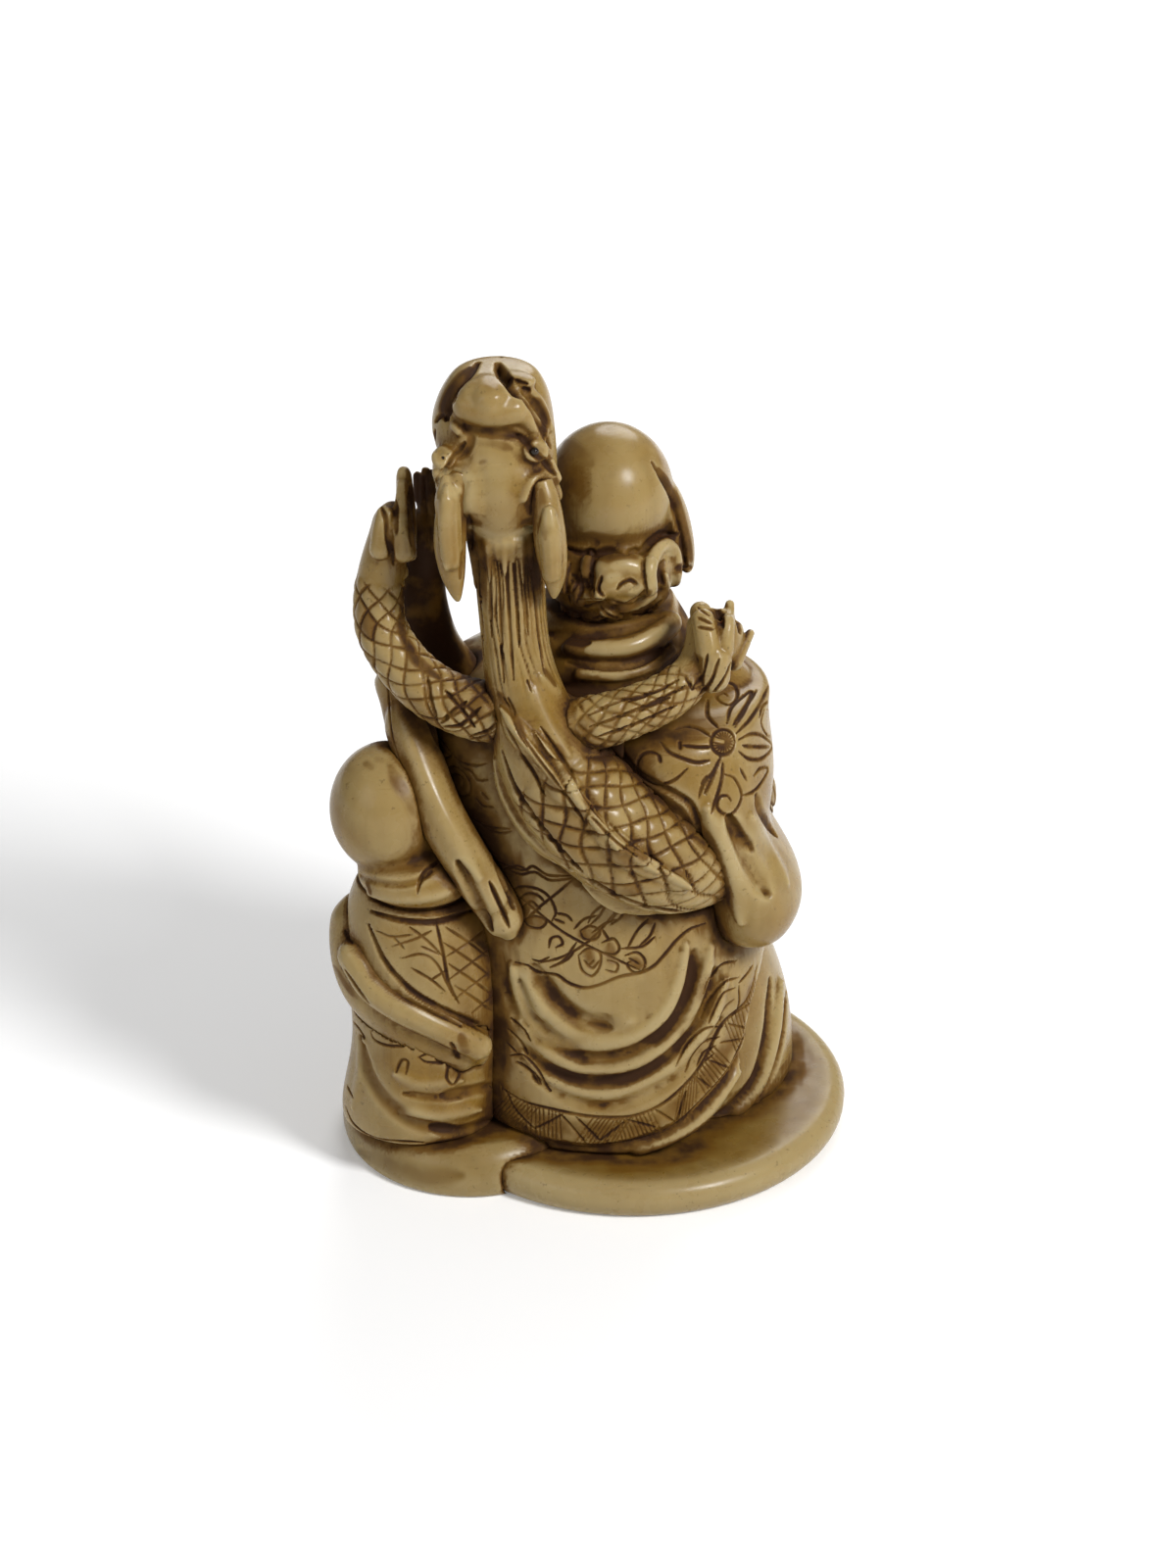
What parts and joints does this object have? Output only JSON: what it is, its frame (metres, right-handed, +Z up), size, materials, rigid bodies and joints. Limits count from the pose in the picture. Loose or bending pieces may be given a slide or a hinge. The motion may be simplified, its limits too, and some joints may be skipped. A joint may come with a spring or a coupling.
{
  "type": "okimono carving",
  "caption": "Ivory-coloured carved group: a robed sage seen with a scaled dragon climbing his back, a small attendant beside him, on an oval plinth.",
  "frame": {"origin": "on the flat underside of the plinth, below the sage's robe", "axes": "+Z up through the figures; -Y is the pictured side, the sage's back; +X is the sage's right hand"},
  "size_m": [0.0377, 0.0316, 0.0615],
  "materials": {
    "ivory": "polished",
    "plinth": "polished",
    "eye": "polished",
    "peg": "plain"
  },
  "bodies": {
    "root": {"base_plate": "plinth", "ground_ledge": "plinth", "inner_robe": "ivory", "sage_robe": "ivory", "sage_collar": "ivory", "sage_head": "ivory", "right_sleeve": "ivory", "left_sleeve": "ivory", "raised_arm": "ivory", "right_hand": "ivory", "sage_feet": "ivory", "dragon_body": "ivory", "dragon_tail": "ivory", "dragon_head": "ivory", "dragon_left_horn": "ivory", "dragon_right_horn": "ivory", "dragon_left_foreleg": "ivory", "dragon_right_foreleg": "ivory", "dragon_eye_inlays": "eye", "attendant_robe": "ivory", "attendant_sleeve": "ivory", "attendant_head": "ivory", "base_pegs": "peg", "sage_neck_peg": "peg", "attendant_neck_peg": "peg", "dragon_neck_peg": "peg", "sleeve_pegs": "peg", "hand_pegs": "peg", "foreleg_pegs": "peg", "trunk_pegs": "peg"}
  },
  "joints": []
}
